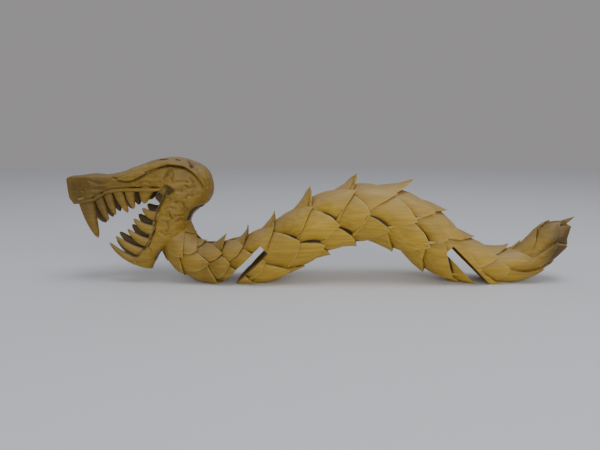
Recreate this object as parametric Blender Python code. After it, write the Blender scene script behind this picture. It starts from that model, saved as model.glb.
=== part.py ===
"""A wooden dragon carving: one solid with a scaled trunk, a gaping head and two sloping saw cuts.

Metres, +Z up. The snout points to -X and the tail to +X, and the carving stands on Z = 0.
"""
import math
import random

import bpy
import bmesh
from mathutils import Vector

# Driving sizes
LENGTH = 0.440            # snout to tail tip
GRID = LENGTH / 440.0     # the pose and the carving are drawn on this grid, so they follow the length
MIDDLE = 20.1             # grid X that comes to lie over the origin, midway between snout and tail tip

DEPTH_SHARE = 0.94        # trunk depth over trunk height
COLUMNS = 8               # rows of scales around the trunk
SCALE_LOW = -0.0016       # the front corner of a scale, under the tips before it
SCALE_MID = 0.0004        # its side corners
SCALE_TIP = 0.0030        # its rear tip
SCALE_BACK = 0.0042       # how far a tip reaches back over the next scale
SCALE_BELLY = 0.0010      # how far the face of a scale swells
SCALE_ROUND = 0.0016      # how far its rear edges bow out
UNDERCUT = 0.0010         # how far the wood under a tip is cut forwards
RIDGE_CURVE = 2           # 1 is a straight rise to a ridge tip, more is a later and steeper one
TAIL_CORE = 6             # how far the core runs on between the last tips, in grid steps
SIDE_SHIFT = 0.0060       # the flank scales end this much further back than the ridge scales
WANDER = 0.0012           # unevenness of hand carving
TURN_RADIUS = 0.0200      # radius at which the unevenness turns a scale aside

SLOT_WIDTH = 0.0090       # saw cut, square to its walls
SLOT_TOP = 0.0320         # height of its closed end
SLOT_LEAN = math.radians(45.0)
SLOT_PLACES = (-30.0, 125.6)   # grid X of the two closed ends

CREST_RELIEF = 0.0018     # crest band over the side of the skull
BROW_RELIEF = 0.0022      # almond eye plate over the side of the skull

SCALE_STEPS = 4           # faces along one edge of a scale
SPINE_STEPS = 16          # spline steps between two spine points
LOFT_SIDES = 16           # points around a head section
TOOTH_SIDES = 6
TOOTH_RINGS = 3
TOOTH_ROOT = 0.0050       # how deep a tooth starts inside the lip
TOOTH_TIP = 0.0003        # half width that is left at the point
TOOTH_TAPER = 0.55        # 1 is a straight cone, less is a fuller tooth
TOOTH_FLATNESS = 0.7      # thickness of a tooth over its width
UPPER_BEND = -1.0         # how far an upper tooth bows, in grid steps
LOWER_BEND = 2.0
FAR_FANG_LIFT = 10.0      # the far fang ends this much higher than the near one, in grid steps
FAR_TEETH_WIDER = 1.3     # width of a far tooth over the near one, because they fill the gaps
HEAD_ROUNDNESS = 0.72     # 1 is an ellipse in section, less is boxier
THROAT_NARROWING = 0.3    # how much narrower the jaw is along its throat than along its lip
PLATE_ROUNDNESS = 0.6
CUT_MARGIN = 0.0200       # how far cutters pass the wood

# Spine of the trunk, from inside the skull to the tail: X, Z and height of the section, in grid steps
SPINE = (
    (-112, 66, 28), (-107, 40, 31), (-97, 24, 32), (-78, 17, 35), (-56, 18, 39), (-34, 22, 45),
    (-7, 36, 46), (22, 53, 48), (60, 61.5, 49), (97, 50, 48), (122, 31, 45), (147, 18, 39),
    (173, 14, 31), (194, 17, 28), (210, 29, 28), (222, 42, 25), (231, 50, 14),
)

# Ridge tips along the spine, in grid steps: place of the root, lift out of the trunk, reach past the root
RIDGE = (
    (4, 0.5, 0.5), (30, 1.5, 1.5), (55, 2, 3), (79.5, 7, 3), (105.5, 9.5, 5), (138, 8.5, 3.5), (171, 10, 4),
    (201, 10, 5.5), (232.5, 13, 6), (264, 6, 3.5), (307.5, 3.5, 4), (347, 5, 5), (391, 4, 4.5),
    (406, -6.5, 16),
)
# Belly tips opposite them: place of the root, lift out of the trunk
BELLY = (
    (14, 0.5), (35, 3), (46, 2.5), (80, 2), (106, 2), (135.5, 3), (159, 6), (193.5, 6), (244, 5), (281, 5),
    (314, 2), (348, 3), (378, 3.5), (398, 3),
)

# Tips of the near flank that stand off the even lattice: row, column, place in grid steps, turn in degrees
NEAR_TIPS = (
    (3, 7, 52, 306), (4, 6, 68, 279), (5, 7, 80, 303), (6, 6, 86, 276), (9, 7, 136, 321), (10, 6, 150, 270),
    (11, 5, 166, 237), (11, 7, 172, 315), (12, 6, 186, 264), (13, 5, 196, 222), (13, 7, 204, 321),
    (14, 6, 212, 273), (15, 5, 232, 249), (15, 7, 230, 321), (16, 6, 250, 282), (17, 5, 272, 258),
    (18, 6, 279, 291), (21, 7, 334, 306), (22, 6, 346, 273), (23, 7, 368, 285),
)

# Skull sections from the snout back: X, top, underside, half width, in grid steps
SKULL = (
    (-199.4, 91.6, 86.0, 4.0), (-197.6, 92.8, 73.0, 5.5), (-193.6, 93.8, 67.8, 8.0),
    (-180.0, 95.0, 69.0, 14.0), (-176.0, 95.4, 70.5, 14.8), (-165.0, 94.8, 77.5, 15.5),
    (-150.0, 97.5, 80.0, 17.5), (-135.0, 103.0, 80.5, 19.5), (-120.0, 108.0, 79.0, 21.0),
    (-106.0, 109.4, 66.0, 22.0), (-94.0, 107.6, 59.5, 21.0), (-84.0, 103.0, 66.5, 18.5),
    (-77.5, 97.5, 71.0, 14.5), (-73.8, 88.0, 78.0, 6.0),
)

# Jaw sections from the skull down to the chin: lip X, lip Z, throat X, throat Z, half width
JAW = (
    (-112.0, 88.0, -84.0, 84.0, 17.0), (-118.5, 74.0, -90.0, 66.0, 20.0),
    (-124.5, 62.0, -94.0, 54.0, 19.5), (-128.2, 50.0, -97.0, 44.0, 18.5),
    (-133.0, 36.0, -108.0, 36.0, 17.0), (-140.3, 27.4, -121.0, 26.0, 15.0),
    (-147.5, 20.6, -126.0, 18.0, 12.5), (-148.5, 17.6, -129.5, 10.6, 9.0),
)

# Teeth of one side, in grid steps: root X, root Z, half width at the root, tip X, tip Z, place aside
UPPER_TEETH = (
    (-179.5, 71.0, 7.2, -172.5, 40.5, 9.5), (-168.5, 76.0, 4.8, -162.5, 55.5, 10.5),
    (-160.5, 79.5, 4.8, -156.0, 60.5, 11.0), (-151.5, 81.5, 5.2, -145.0, 62.5, 12.0),
    (-141.5, 82.0, 5.0, -139.5, 66.0, 13.0), (-127.0, 82.5, 7.4, -130.5, 70.5, 14.0),
)
LOWER_TEETH = (
    (-145.0, 22.5, 3.6, -163.5, 36.0, 8.5), (-138.0, 30.0, 4.2, -157.5, 42.0, 10.0),
    (-132.0, 39.0, 4.4, -146.4, 48.4, 11.5), (-127.5, 50.0, 4.8, -140.5, 57.5, 12.5),
    (-122.5, 62.0, 4.8, -132.5, 66.5, 13.5),
)

# Crest band on the side of the skull: X, upper edge, lower edge, in grid steps
CREST = (
    (-128.0, 98.0, 95.8), (-121.0, 103.5, 98.6), (-107.0, 106.6, 102.8), (-96.0, 105.0, 101.6),
    (-90.0, 102.0, 98.2), (-84.5, 98.0, 92.5), (-80.5, 93.5, 86.0), (-78.0, 87.0, 81.0),
)
# Almond eye plate: X, upper edge, lower edge, in grid steps
BROW = (
    (-151.0, 91.3, 90.7), (-144.0, 95.0, 88.6), (-137.0, 97.4, 89.4), (-130.5, 98.8, 92.6),
    (-126.0, 97.2, 95.6),
)

WOOD_COLOUR = (0.46, 0.29, 0.10, 1.0)
WOOD_ROUGHNESS = 0.62


def clear_scene():
    """Remove whatever the scene holds."""
    for old in list(bpy.data.objects):
        bpy.data.objects.remove(old, do_unlink=True)


def grid_point(x, z):
    """A point of the middle plane in metres, from its place on the grid."""
    return Vector((x - MIDDLE, 0.0, z)) * GRID


def on_spline(points, place):
    """A Catmull-Rom curve through points, read at place = 0 to len(points) - 1."""
    last = len(points) - 1
    index = min(int(place), last - 1)
    t = place - index
    before = points[max(index - 1, 0)]
    here, there = points[index], points[index + 1]
    after = points[min(index + 2, last)]
    return tuple(
        0.5 * (2 * b + (c - a) * t + (2 * a - 5 * b + 4 * c - d) * t * t + (3 * b - a - 3 * c + d) * t ** 3)
        for a, b, c, d in zip(before, here, there, after))


class Trunk:
    """The bare tube that the scales are cut on, read by distance along its spine."""

    def __init__(self):
        count = (len(SPINE) - 1) * SPINE_STEPS
        self.path = [on_spline(SPINE, i / SPINE_STEPS) for i in range(count + 1)]
        self.far = [0.0]
        for before, after in zip(self.path, self.path[1:]):
            self.far.append(self.far[-1] + math.dist(before[:2], after[:2]))

    def at(self, distance):
        """X, Z, height and unit tangent at a distance in grid steps, straight on past both ends."""
        i = 0
        while i < len(self.far) - 2 and self.far[i + 1] < distance:
            i += 1
        x0, z0, h0 = self.path[i]
        x1, z1, h1 = self.path[i + 1]
        share = (distance - self.far[i]) / (self.far[i + 1] - self.far[i])
        inside = min(max(share, 0.0), 1.0)
        ahead = self.path[min(i + 2, len(self.path) - 1)]
        back = self.path[max(i - 1, 0)]
        tangent = Vector((ahead[0] - back[0], 0.0, ahead[1] - back[1])).normalized()
        place = Vector((x0 + (x1 - x0) * share, 0.0, z0 + (z1 - z0) * share))
        return place, h0 + (h1 - h0) * inside, tangent

    def point(self, distance, turn, lift):
        """A point in metres: turn goes round from the ridge, lift is in metres out of the tube."""
        place, height, tangent = self.at(distance / GRID)
        outward = Vector((-tangent.z, 0.0, tangent.x))
        half = height * GRID / 2
        up = math.cos(turn) * (half + lift)
        side = math.sin(turn) * (half * DEPTH_SHARE + lift)
        return grid_point(place.x, place.z) + outward * up + Vector((0.0, side, 0.0))


def tip_rows():
    """Places of the rows of tips on the ridge and on the belly, in metres.

    Every second row is stated, and the rows between lie midway.
    """
    stated = [(ridge[0] * GRID, belly[0] * GRID) for ridge, belly in zip(RIDGE, BELLY)]
    rows = []
    for here, there in zip(stated, stated[1:]):
        rows += [here, ((here[0] + there[0]) / 2, (here[1] + there[1]) / 2)]
    return rows + [stated[-1]]


def scale_corners():
    """For each tip of the lattice: its high, middle and low corner as distance, turn and lift."""
    rng = random.Random(7)
    rows = tip_rows()
    moved = {(row, column): (place * GRID, math.radians(turn)) for row, column, place, turn in NEAR_TIPS}
    corners = {}
    for row, (on_ridge, on_belly) in enumerate(rows):
        for column in range(row % 2, COLUMNS, 2):
            turn = 2 * math.pi * column / COLUMNS
            under = math.sin(turn / 2) ** 2
            place = on_ridge * (1 - under) + on_belly * under + SIDE_SHIFT * abs(math.sin(turn))
            turn += rng.uniform(-WANDER, WANDER) / TURN_RADIUS
            place += rng.uniform(-WANDER, WANDER)
            tip = SCALE_TIP + rng.uniform(-WANDER, WANDER) / 2
            back = SCALE_BACK + rng.uniform(-WANDER, WANDER)
            if column == 0:
                turn = 0.0
                tip, back = RIDGE[row // 2][1] * GRID, RIDGE[row // 2][2] * GRID
            elif column == COLUMNS // 2:
                tip = BELLY[row // 2][1] * GRID
            elif (row, column) in moved:
                place, turn = moved[row, column]
                place -= back
            corners[row, column] = {
                "high": (place + back, turn, tip),
                "mid": (place, turn, SCALE_MID),
                "low": (place - UNDERCUT, turn, SCALE_LOW),
            }
    return corners, len(rows)


def near_turn(turn, reference):
    """The same turn, counted so that it lies within half a round of the reference."""
    return turn - 2 * math.pi * round((turn - reference) / (2 * math.pi))


def scale_face(corners, row, column, steps):
    """One scale as a grid of spots (distance, turn, lift), from its front corner [0][0] to its tip.

    The four corners are named by the key of the lattice corner that they share with their neighbours.
    """
    shared = {
        (0, 0): (row - 2, column, "low"),
        (steps, 0): (row - 1, (column - 1) % COLUMNS, "mid"),
        (0, steps): (row - 1, (column + 1) % COLUMNS, "mid"),
        (steps, steps): (row, column, "high"),
    }
    spots = [corners[key[:2]][key[2]] for key in shared.values()]
    tip = spots[3]
    turns = [near_turn(spot[1], tip[1]) for spot in spots]
    rise = RIDGE_CURVE if column == 0 else 1
    grid = []
    for i in range(steps + 1):
        line = []
        for j in range(steps + 1):
            a, b = i / steps, j / steps
            weights = (1 - a) * (1 - b), a * (1 - b), (1 - a) * b, a * b
            distance = sum(w * spot[0] for w, spot in zip(weights, spots))
            turn = sum(w * t for w, t in zip(weights, turns))
            lift = sum(w * spot[2] for w, spot in zip(weights, spots))
            lift -= tip[2] * (a * b - (a * b) ** rise)
            lift += SCALE_BELLY * math.sin(math.pi * a) * math.sin(math.pi * b)
            if i == steps or j == steps:
                distance += SCALE_ROUND * math.sin(math.pi * min(a, b))
            line.append((distance, turn, lift))
        grid.append(line)
    return grid, shared


def mesh_object(name, vertices, faces):
    """A new object from points in metres, with its faces pointing out."""
    mesh = bpy.data.meshes.new(name)
    mesh.from_pydata([tuple(v) for v in vertices], [], faces)
    work = bmesh.new()
    work.from_mesh(mesh)
    bmesh.ops.recalc_face_normals(work, faces=work.faces)
    work.to_mesh(mesh)
    work.free()
    return bpy.data.objects.new(name, mesh)


def make_trunk():
    """The scaled trunk as one closed skin: the faces of the scales and the walls under their rear edges."""
    trunk = Trunk()
    corners, rows = scale_corners()
    steps = SCALE_STEPS
    vertices, faces, index, grids = [], [], {}, {}

    def vertex(key, spot):
        if key not in index:
            index[key] = len(vertices)
            vertices.append(trunk.point(*spot))
        return index[key]

    for row in range(2, rows):
        for column in range(row % 2, COLUMNS, 2):
            grid, shared = scale_face(corners, row, column, steps)
            numbers = {}
            for i in range(steps + 1):
                for j in range(steps + 1):
                    key = shared.get((i, j))
                    spot = corners[key[:2]][key[2]] if key else grid[i][j]
                    numbers[i, j] = vertex(key or (row, column, i, j), spot)
            grids[row, column] = numbers
            for i in range(steps):
                for j in range(steps):
                    near, far = numbers[i, j], numbers[i + 1, j + 1]
                    faces += [(near, numbers[i + 1, j], far), (near, far, numbers[i, j + 1])]

    for (row, column), numbers in grids.items():
        for side in (-1, 1):
            behind = grids.get((row + 1, (column + side) % COLUMNS))
            if behind:
                for k in range(steps):
                    high, low = rear_edge(numbers, side, k, steps), front_edge(behind, -side, k)
                    faces += [(high[0], high[1], low[1]), (high[0], low[1], low[0])]

    for last, middle in ((False, trunk.at(RIDGE[0][0])[0]), (True, trunk.at(RIDGE[-1][0] + TAIL_CORE)[0])):
        vertices.append(grid_point(middle.x, middle.z))
        for (row, column), numbers in grids.items():
            if row == (rows - 1 if last else 2):
                for side in (-1, 1):
                    for k in range(steps):
                        edge = rear_edge(numbers, side, k, steps) if last else front_edge(numbers, side, k)
                        faces.append((*edge, len(vertices) - 1))
    return mesh_object("dragon_carving", vertices, faces)


def rear_edge(numbers, side, k, steps):
    """Piece k of the edge from a side corner of a scale to its tip; side is -1 or 1."""
    if side < 0:
        return numbers[steps, k], numbers[steps, k + 1]
    return numbers[k, steps], numbers[k + 1, steps]


def front_edge(numbers, side, k):
    """Piece k of the edge from the front corner of a scale to a side corner; side is -1 or 1."""
    if side < 0:
        return numbers[k, 0], numbers[k + 1, 0]
    return numbers[0, k], numbers[0, k + 1]


def make_loft(name, rings):
    """A closed solid through rings of equally many points, capped by a point in the middle of each end."""
    vertices = [point for ring in rings for point in ring]
    around = len(rings[0])
    faces = []
    for k in range(len(rings) - 1):
        for i in range(around):
            j = (i + 1) % around
            a, b = k * around + i, k * around + j
            c, d = a + around, b + around
            faces += [(a, b, d), (a, d, c)]
    for start, ring in ((0, rings[0]), ((len(rings) - 1) * around, rings[-1])):
        centre = sum(ring, Vector()) / around
        vertices.append(centre)
        for i in range(around):
            faces.append((start + i, start + (i + 1) % around, len(vertices) - 1))
    return mesh_object(name, vertices, faces)


def squared_ring(low, high, half_width, roundness, narrowing=0.0):
    """A rounded box of a ring between two points of the middle plane, half_width to either side.

    With a narrowing it tapers to the high end.
    """
    middle, reach = (low + high) / 2, (high - low) / 2
    ring = []
    for k in range(LOFT_SIDES):
        angle = 2 * math.pi * (k + 0.5) / LOFT_SIDES
        along = math.copysign(abs(math.cos(angle)) ** roundness, math.cos(angle))
        across = math.copysign(abs(math.sin(angle)) ** roundness, math.sin(angle))
        width = half_width * (1 - narrowing * max(along, 0.0) ** 2)
        ring.append(middle + reach * along + Vector((0.0, width * across, 0.0)))
    return ring


def make_skull():
    rings = [squared_ring(grid_point(x, low), grid_point(x, top), half * GRID, HEAD_ROUNDNESS)
             for x, top, low, half in SKULL]
    return make_loft("skull_form", rings)


def make_jaw():
    rings = []
    for lip_x, lip_z, throat_x, throat_z, half in JAW:
        lip, throat = grid_point(lip_x, lip_z), grid_point(throat_x, throat_z)
        rings.append(squared_ring(lip, throat, half * GRID, HEAD_ROUNDNESS, THROAT_NARROWING))
    return make_loft("jaw_form", rings)


def skull_half_width(x):
    """Half width of the skull at a grid X."""
    for (x0, _, _, w0), (x1, _, _, w1) in zip(SKULL, SKULL[1:]):
        if x <= x1:
            return w0 + (w1 - w0) * (x - x0) / (x1 - x0)
    return SKULL[-1][3]


def make_plate(name, outline, relief):
    """A plate that stands out of both sides of the skull, from one flank through to the other."""
    rings = []
    for x, top, low in outline:
        half = skull_half_width(x) * GRID + relief
        rings.append(squared_ring(grid_point(x, low), grid_point(x, top), half, PLATE_ROUNDNESS))
    return make_loft(name, rings)


def make_tooth(name, root_x, root_z, half, tip_x, tip_z, aside, bend):
    """A curved cone from inside the lip to its tip, on the far side where aside is above zero."""
    tip = grid_point(tip_x, tip_z)
    axis = (tip - grid_point(root_x, root_z)).normalized()
    root = grid_point(root_x, root_z) - axis * TOOTH_ROOT
    across = Vector((-axis.z, 0.0, axis.x))
    rings = []
    for k in range(TOOTH_RINGS + 1):
        t = k / TOOTH_RINGS
        width = half * GRID * (1 - t) ** TOOTH_TAPER + TOOTH_TIP
        width *= FAR_TEETH_WIDER if aside > 0 else 1
        bow = bend * GRID * math.sin(math.pi * t)
        middle = root + (tip - root) * t + across * bow + Vector((0.0, aside * GRID, 0.0))
        ring = []
        for i in range(TOOTH_SIDES):
            angle = 2 * math.pi * i / TOOTH_SIDES
            thick = TOOTH_FLATNESS * width * math.sin(angle)
            ring.append(middle + across * (width * math.cos(angle)) + Vector((0.0, thick, 0.0)))
        rings.append(ring)
    return make_loft(name, rings)


def make_teeth():
    """Both rows of teeth on both sides."""
    teeth = []
    for row, table, bend in (("upper", UPPER_TEETH, UPPER_BEND), ("lower", LOWER_TEETH, LOWER_BEND)):
        for number, (root_x, root_z, half, tip_x, tip_z, aside) in enumerate(table):
            for side, sign in (("near", -1), ("far", 1)):
                name = f"{row}_tooth_{number}_{side}"
                end_z = tip_z + FAR_FANG_LIFT if name == "upper_tooth_0_far" else tip_z
                teeth.append(make_tooth(name, root_x, root_z, half, tip_x, end_z, sign * aside, bend))
    return teeth


def make_box(name, size, centre, lean=0.0):
    """A box leaning about the Y axis, for a cut."""
    mesh = bpy.data.meshes.new(name)
    work = bmesh.new()
    bmesh.ops.create_cube(work, size=1.0)
    bmesh.ops.scale(work, vec=size, verts=work.verts)
    work.to_mesh(mesh)
    work.free()
    box = bpy.data.objects.new(name, mesh)
    box.rotation_euler = (0.0, lean, 0.0)
    box.location = centre
    return box


def make_cuts():
    """The two saw cuts, which lean towards each other, and the flat underside."""
    run = (SLOT_TOP + CUT_MARGIN) / math.sin(SLOT_LEAN)
    cuts = []
    for name, place, sign in (("left_slot", SLOT_PLACES[0], 1), ("right_slot", SLOT_PLACES[1], -1)):
        down = Vector((-sign * math.cos(SLOT_LEAN), 0.0, -math.sin(SLOT_LEAN)))
        centre = grid_point(place, 0.0) + Vector((0.0, 0.0, SLOT_TOP)) + down * (run / 2)
        size = (SLOT_WIDTH, LENGTH / 4, run)
        cuts.append(make_box(name, size, centre, sign * (math.pi / 2 - SLOT_LEAN)))
    floor_size = (LENGTH + 4 * CUT_MARGIN, LENGTH / 2, 2 * CUT_MARGIN)
    cuts.append(make_box("floor_cut", floor_size, Vector((0.0, 0.0, -CUT_MARGIN))))
    return cuts


def wood_material():
    """Pale oiled wood."""
    material = bpy.data.materials.new("carved_wood")
    material.use_nodes = True
    shader = material.node_tree.nodes["Principled BSDF"]
    shader.inputs["Base Color"].default_value = WOOD_COLOUR
    shader.inputs["Roughness"].default_value = WOOD_ROUGHNESS
    shader.inputs["Metallic"].default_value = 0.0
    return material


def helper_collection(name, members):
    """A collection of forms that only shape the carving."""
    group = bpy.data.collections.new(name)
    bpy.context.scene.collection.children.link(group)
    for member in members:
        member.hide_render = True
        member.display_type = "WIRE"
        group.objects.link(member)
    return group


def add_boolean(target, name, operation, group):
    step = target.modifiers.new(name, "BOOLEAN")
    step.operation = operation
    step.operand_type = "COLLECTION"
    step.collection = group
    step.solver = "EXACT"


def main():
    clear_scene()
    carving = make_trunk()
    bpy.context.scene.collection.objects.link(carving)
    carving.data.materials.append(wood_material())
    head = [make_skull(), make_jaw(), make_plate("crest_form", CREST, CREST_RELIEF),
            make_plate("brow_form", BROW, BROW_RELIEF)]
    add_boolean(carving, "head", "UNION", helper_collection("head_forms", head + make_teeth()))
    add_boolean(carving, "cuts", "DIFFERENCE", helper_collection("cutters", make_cuts()))


main()
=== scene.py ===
# %% [markdown]
# # A dragon carved from one piece of pale wood
#
# The real object is a small carving, about 44 cm long. One piece of bare, pale wood was cut with a knife
# into a long arched trunk covered in leaf-shaped scales, with a gaping head at one end and two sloping saw
# cuts below.
#
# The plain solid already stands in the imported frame. This lesson cuts the same form again with far more
# faces, so that the rims of the scales, the teeth and the knife strokes show, and then gives it a wood
# finish.

import math
import random

import bmesh
import bpy
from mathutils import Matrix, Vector
from mathutils.bvhtree import BVHTree


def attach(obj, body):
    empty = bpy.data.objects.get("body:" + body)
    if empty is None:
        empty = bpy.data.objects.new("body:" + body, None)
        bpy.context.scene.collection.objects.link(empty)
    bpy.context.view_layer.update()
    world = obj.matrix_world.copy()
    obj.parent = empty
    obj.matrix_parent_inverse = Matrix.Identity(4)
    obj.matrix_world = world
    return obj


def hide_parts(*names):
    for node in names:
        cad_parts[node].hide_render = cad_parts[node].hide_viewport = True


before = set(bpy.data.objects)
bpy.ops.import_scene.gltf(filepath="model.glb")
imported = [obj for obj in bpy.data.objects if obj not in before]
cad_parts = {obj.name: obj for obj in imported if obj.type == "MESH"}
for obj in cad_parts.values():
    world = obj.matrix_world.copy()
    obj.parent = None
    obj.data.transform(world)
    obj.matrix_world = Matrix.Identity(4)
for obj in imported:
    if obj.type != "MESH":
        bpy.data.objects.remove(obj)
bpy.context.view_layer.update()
STEP = 0.001       # the carving is drawn on a grid of one millimetre
MIDDLE = 20.1      # grid place that lies over the origin


# %% [markdown]
# ## The line of the back
#
# A carver starts from a saw-cut blank that follows one line: down the neck, up over the arch, down again
# and up into the tail. Here that line is a smooth spline through a few points, each with the height of the
# trunk there. A spline is easier to bend than a sculpted mesh, because every scale that is laid on it
# follows later.

# %% The line of the back as a curve
SPINE = (
    (-112, 66, 28), (-107, 40, 31), (-97, 24, 32), (-78, 17, 35), (-56, 18, 39), (-34, 22, 45),
    (-7, 36, 46), (22, 53, 48), (60, 61.5, 49), (97, 50, 48), (122, 31, 45), (147, 18, 39),
    (173, 14, 31), (194, 17, 28), (210, 29, 28), (222, 42, 25), (231, 50, 14),
)   # place, height and thickness of the trunk, in grid steps
SPINE_STEPS = 16
SPINE_RUN_ON = 30  # straight piece past the last point, so that the tail tips have a line to follow


def on_spline(points, place):
    """A Catmull-Rom curve through points, read at place = 0 to len(points) - 1."""
    last = len(points) - 1
    index = min(int(place), last - 1)
    t = place - index
    before, after = points[max(index - 1, 0)], points[min(index + 2, last)]
    here, there = points[index], points[index + 1]
    return tuple(
        0.5 * (2 * b + (c - a) * t + (2 * a - 5 * b + 4 * c - d) * t * t + (3 * b - a - 3 * c + d) * t ** 3)
        for a, b, c, d in zip(before, here, there, after))


def grid_point(x, z, y=0.0):
    """A point in metres from its place on the grid."""
    return Vector((x - MIDDLE, y, z)) * STEP


def add_object(name, data):
    """A new object in the scene."""
    made = bpy.data.objects.new(name, data)
    bpy.context.scene.collection.objects.link(made)
    return made


def make_spine():
    """The line as a curve object whose radius is half the thickness of the trunk."""
    count = (len(SPINE) - 1) * SPINE_STEPS
    path = [on_spline(SPINE, i / SPINE_STEPS) for i in range(count + 1)]
    (x0, z0, _), (x1, z1, thick) = path[-2:]
    reach = SPINE_RUN_ON / math.dist((x0, z0), (x1, z1))
    path.append((x1 + (x1 - x0) * reach, z1 + (z1 - z0) * reach, thick))
    curve = bpy.data.curves.new("line_of_the_back", "CURVE")
    curve.dimensions = "3D"
    line = curve.splines.new("POLY")
    line.points.add(len(path) - 1)
    for point, (x, z, thickness) in zip(line.points, path):
        point.co = (*grid_point(x, z), 1.0)
        point.radius = thickness * STEP / 2
    length = sum(math.dist(a[:2], b[:2]) for a, b in zip(path, path[1:]))
    return add_object("line_of_the_back", curve), length


back_line, back_length = make_spine()
print(f"line of the back: {back_length:.0f} mm with its run-on")


# %% [markdown]
# ## Where the tips of the scales stand
#
# The scales lie like roof tiles in a diamond pattern, eight rows round the trunk. The carver marked the
# tips first, by eye, so they wander a little. A table holds the tips along the ridge and under the belly,
# which make the outline, and another the ones that stand off the even pattern on the near flank. The rest
# fall in between.

# %% Mark the tips
COLUMNS = 8
RIDGE = (
    (4, 0.5, 0.5), (30, 1.5, 1.5), (55, 2, 3), (79.5, 7, 3), (105.5, 9.5, 5), (138, 8.5, 3.5),
    (171, 10, 4), (201, 10, 5.5), (232.5, 13, 6), (264, 6, 3.5), (307.5, 3.5, 4), (347, 5, 5),
    (391, 2.8, 4.5), (406, -6.5, 16),
)   # place, lift, reach past the root
BELLY = (
    (14, 0.5), (35, 3), (46, 2.5), (80, 2), (106, 2), (135.5, 3), (159, 6), (193.5, 6), (244, 5),
    (281, 5), (314, 2), (348, 3), (378, 3.5), (398, 3),
)   # place, lift
NEAR_TIPS = (
    (3, 7, 52, 306), (4, 6, 68, 279), (5, 7, 80, 303), (6, 6, 86, 276), (9, 7, 136, 321), (10, 6, 150, 270),
    (11, 5, 166, 237), (11, 7, 172, 315), (12, 6, 186, 264), (13, 5, 196, 222), (13, 7, 204, 321),
    (14, 6, 212, 273), (15, 5, 232, 249), (15, 7, 230, 321), (16, 6, 250, 282), (17, 5, 272, 258),
    (18, 6, 279, 291), (21, 7, 334, 306), (22, 6, 346, 273), (23, 7, 368, 285),
)   # row, column, place, turn in degrees
SCALE_LOW, SCALE_MID, SCALE_TIP = -1.6 * STEP, 0.4 * STEP, 3.0 * STEP
SCALE_BACK, UNDERCUT = 4.2 * STEP, 1.0 * STEP
SIDE_SHIFT, WANDER, TURN_RADIUS = 6.0 * STEP, 1.2 * STEP, 20.0 * STEP


def mark_tips():
    """For each tip its high, middle and low corner, as distance along the back, turn and lift."""
    rng = random.Random(7)
    stated = [(ridge[0] * STEP, belly[0] * STEP) for ridge, belly in zip(RIDGE, BELLY)]
    rows = []
    for here, there in zip(stated, stated[1:]):
        rows += [here, ((here[0] + there[0]) / 2, (here[1] + there[1]) / 2)]
    rows.append(stated[-1])
    moved = {(row, column): (place * STEP, math.radians(turn)) for row, column, place, turn in NEAR_TIPS}
    corners = {}
    for row, (on_ridge, on_belly) in enumerate(rows):
        for column in range(row % 2, COLUMNS, 2):
            turn = 2 * math.pi * column / COLUMNS
            under = math.sin(turn / 2) ** 2
            place = on_ridge * (1 - under) + on_belly * under + SIDE_SHIFT * abs(math.sin(turn))
            turn += rng.uniform(-WANDER, WANDER) / TURN_RADIUS
            place += rng.uniform(-WANDER, WANDER)
            tip = SCALE_TIP + rng.uniform(-WANDER, WANDER) / 2
            back = SCALE_BACK + rng.uniform(-WANDER, WANDER)
            if column == 0:
                turn, tip, back = 0.0, RIDGE[row // 2][1] * STEP, RIDGE[row // 2][2] * STEP
            elif column == COLUMNS // 2:
                tip = BELLY[row // 2][1] * STEP
            elif (row, column) in moved:
                place, turn = moved[row, column]
                place -= back
            corners[row, column] = {"high": (place + back, turn, tip), "mid": (place, turn, SCALE_MID),
                                    "low": (place - UNDERCUT, turn, SCALE_LOW)}
    return corners, len(rows)


tips, tip_rows = mark_tips()
print(len(tips), "tips in", tip_rows, "rows")


# %% [markdown]
# ## The gap behind a scale
#
# On the side of the ridge the carver cut down behind the raised rear edge of each larger scale. That leaves
# an open gap, which reads as a dark line. On the side of the belly the edge simply overlaps the next scale.
# A painted line would be simpler, but it would vanish from the side, so the gap is cut: the next scale
# starts further back and lower, and its floor is painted dark as well, as painted shade. One curve from the
# side corner to the tip sets its width and its depth.

# %% The gap behind a scale
SCALE_BELLY, SCALE_ROUND = 1.0 * STEP, 1.6 * STEP
GAP_WIDTH = 1.1 * STEP     # open gap behind the edge on the side of the ridge
GAP_DEPTH = 1.6 * STEP
GAP_PLACE = 1.25           # 1 puts the widest place in the middle of the edge, more moves it to the tip
GAP_SCALES = 30.0 * STEP, 36.0 * STEP    # scales shorter than this have no gap, longer ones a full one
GAP_FULLNESS = 0.5         # less makes the gap wide over more of the edge
GAP_SLOPE = 5              # more lets the floor of the gap rise sooner
GAP_START, GAP_STOP = 5, 9    # how fast the gap opens at the side corner and closes at the tip
BELLY_GAP = 0.5            # share of the gap behind the scales under the belly
TAIL_ROW, TAIL_GAP = 20, 0.4    # from this row on, towards the tail, the gaps are this share


def gap_at(share):
    """Width of the gap behind an edge, as a share, from the side corner at 0 to the tip at 1."""
    return math.sin(math.pi * share ** GAP_PLACE) ** GAP_FULLNESS


def ridge_side(column, side):
    """Whether the rear edge of a scale to this side is the one nearer the ridge."""
    return column != 0 and side * (column - COLUMNS / 2) >= 0


def gap_share(row, column):
    """How fully the gap behind a scale is cut, which depends on the length of the scale."""
    if (row - 2, column) not in tips:
        return 0.0
    length = tips[row, column]["high"][0] - tips[row - 2, column]["low"][0]
    short, full = GAP_SCALES
    share = BELLY_GAP if column == COLUMNS // 2 else 1.0
    if row >= TAIL_ROW:
        share *= TAIL_GAP
    return share * max(0.0, min(1.0, (length - short) / (full - short)))


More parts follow.
